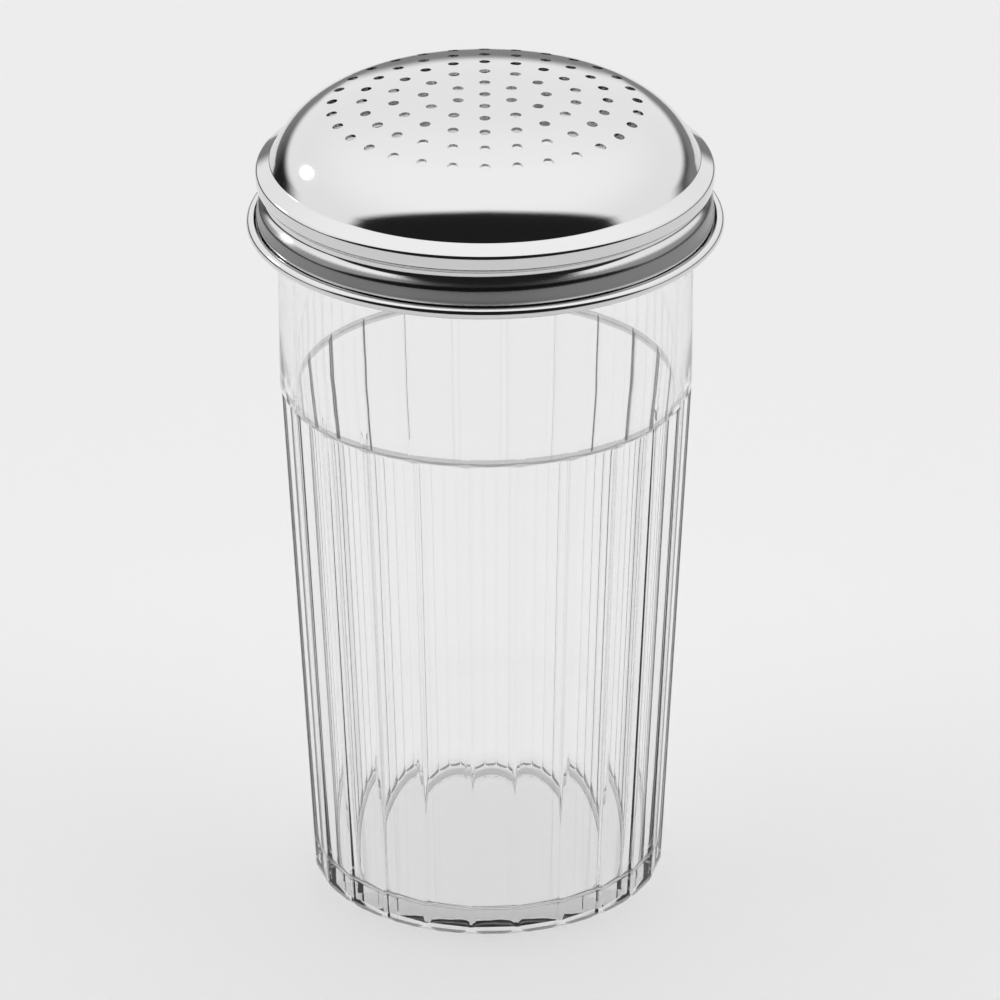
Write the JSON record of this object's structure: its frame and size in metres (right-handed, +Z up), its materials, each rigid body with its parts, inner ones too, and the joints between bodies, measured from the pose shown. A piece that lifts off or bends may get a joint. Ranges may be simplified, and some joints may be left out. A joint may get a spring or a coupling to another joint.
{
  "type": "table shaker",
  "caption": "Clear fluted jar with a screw thread and a polished steel lid whose perforated dome sprinkles cheese, spice or sugar.",
  "frame": {"origin": "centre of the jar's underside, on the plane that it stands on", "axes": "+Z up along the jar's axis, -Y towards the front"},
  "size_m": [0.082, 0.082, 0.1463],
  "materials": {
    "clear_plastic": "clear, polished moulding",
    "polished_steel": "polished stainless sheet, fine knurling on the skirt"
  },
  "bodies": {
    "jar": {"jar": "clear_plastic"},
    "lid": {"lid": "polished_steel"}
  },
  "joints": [
    {"name": "lid_lift", "type": "slide", "parent": "jar", "child": "lid", "axis": [0, 0, 1], "range_m": [0, 0.06]}
  ]
}
